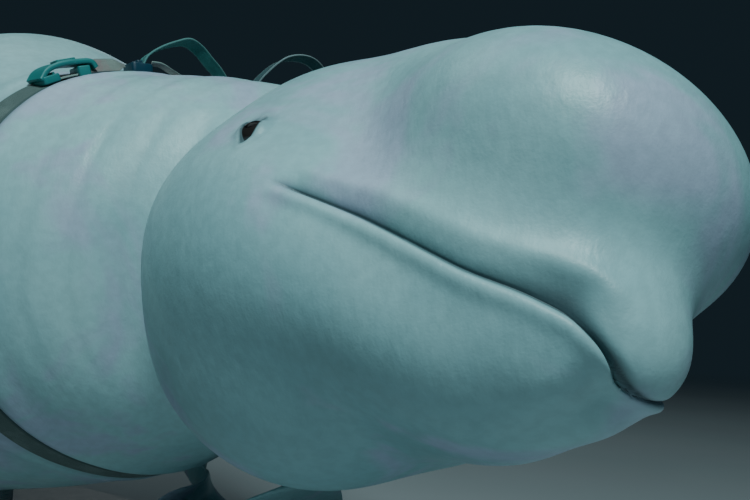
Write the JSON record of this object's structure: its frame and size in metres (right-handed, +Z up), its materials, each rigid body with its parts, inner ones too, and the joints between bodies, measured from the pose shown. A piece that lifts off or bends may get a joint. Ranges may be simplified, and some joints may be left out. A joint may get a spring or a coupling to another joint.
{
  "type": "beluga whale display model",
  "caption": "Life-size beluga whale banking and turning its head to the right, with a webbing harness round its neck, held by two short rods on a flat base",
  "frame": {"origin": "centre of the bounding box at its bottom, on the underside of the stand's base", "axes": "+X towards the whale's head along its trunk, +Y to its left, +Z up"},
  "size_m": [4.186, 1.236, 0.9663],
  "materials": {
    "whale_skin": "smooth, faintly mottled skin with a soft sheen",
    "eye": "wet dark brown",
    "strap_webbing": "woven webbing, slightly faded",
    "buckle_plastic": "moulded, lightly scuffed",
    "mount_plastic": "moulded, matt",
    "pale_band": "worn webbing end",
    "loop_webbing": "woven webbing",
    "base_paint": "satin grey paint",
    "rod_metal": "brushed"
  },
  "bodies": {
    "root": {"head": "whale_skin", "melon": "whale_skin", "lower_jaw": "whale_skin", "neck": "whale_skin", "chest": "whale_skin", "torso": "whale_skin", "rear_torso": "whale_skin", "tail_stock": "whale_skin", "fluke_left": "whale_skin", "fluke_right": "whale_skin", "flipper_left": "whale_skin", "flipper_right": "whale_skin", "eye_left": "eye", "eye_right": "eye", "harness_strap": "strap_webbing", "buckle_frame": "buckle_plastic", "buckle_latch": "buckle_plastic", "mount_block": "mount_plastic", "strap_end": "pale_band", "handle_loop": "loop_webbing", "far_loop": "loop_webbing", "stand_base": "base_paint", "stand_rod_front": "rod_metal", "stand_rod_rear": "rod_metal"}
  },
  "joints": []
}
